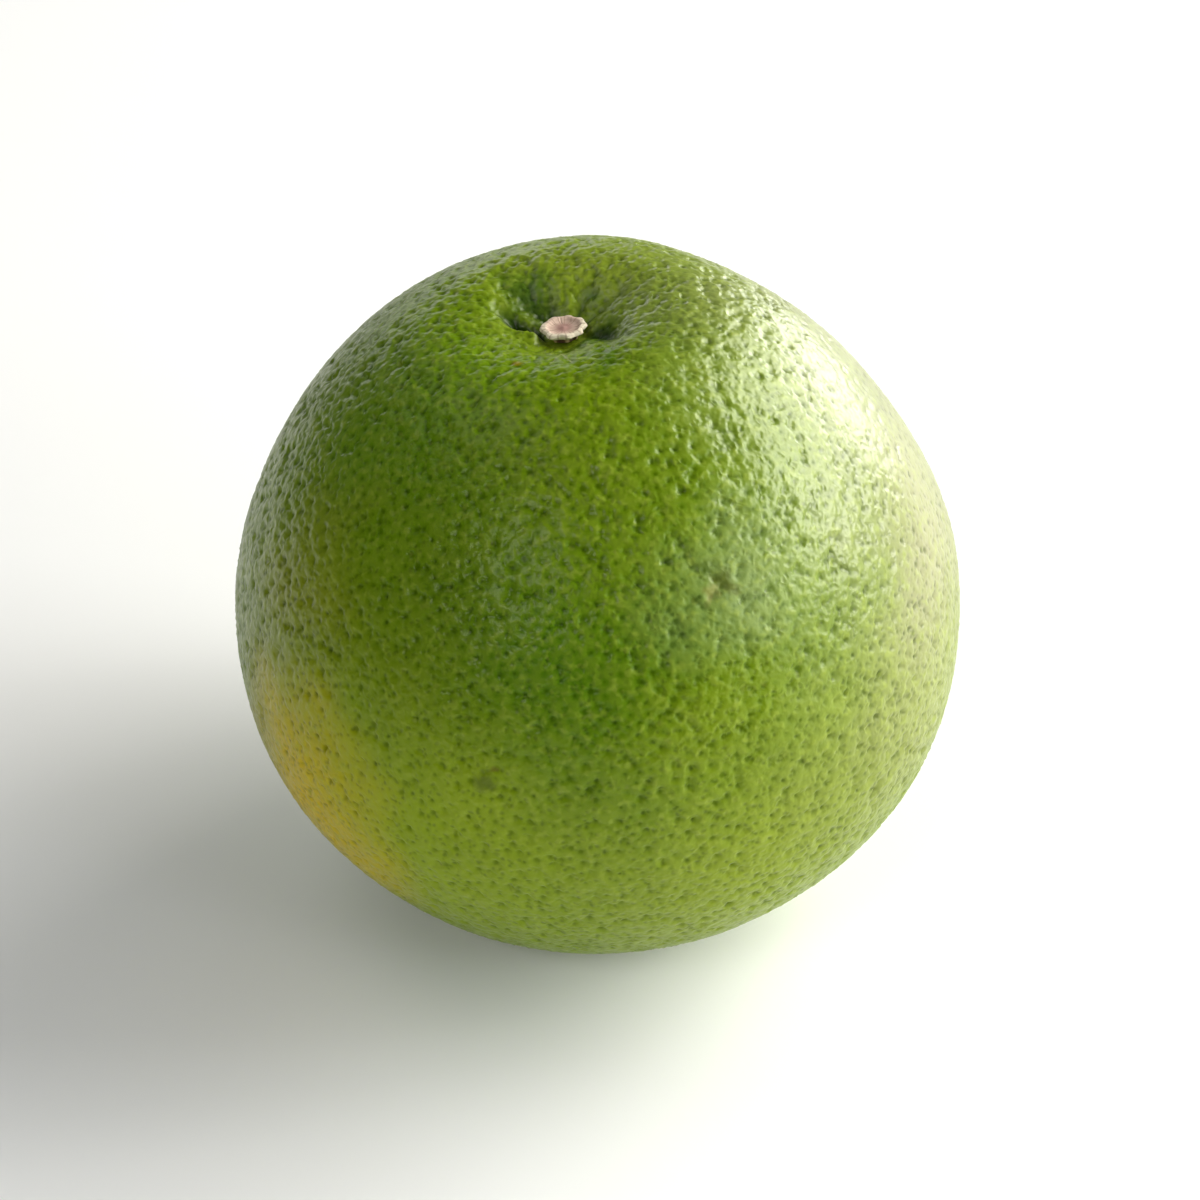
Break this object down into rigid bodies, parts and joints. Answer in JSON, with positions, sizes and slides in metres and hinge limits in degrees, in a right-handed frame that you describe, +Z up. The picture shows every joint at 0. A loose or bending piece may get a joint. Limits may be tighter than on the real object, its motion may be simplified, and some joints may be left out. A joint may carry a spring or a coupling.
{
  "type": "navel orange",
  "caption": "Whole green-skinned navel orange with a pitted rind, a dished stem end with its woody stem button and a navel underneath, standing on a small flat spot.",
  "frame": {"origin": "on the resting surface, under the middle of the fruit", "axes": "+Z up; the stem end leans a few degrees from +Z towards -X; -Y faces the viewer of the picture"},
  "size_m": [0.0864, 0.0864, 0.0811],
  "materials": {
    "green_rind": "waxy, semi-gloss, pitted all over; mottled green with a yellow flush low on one side",
    "stalk_wood": "dry, matt, pale pinkish brown with a cream rim"
  },
  "bodies": {
    "root": {"fruit": "green_rind", "stem_button": "stalk_wood"}
  },
  "joints": []
}
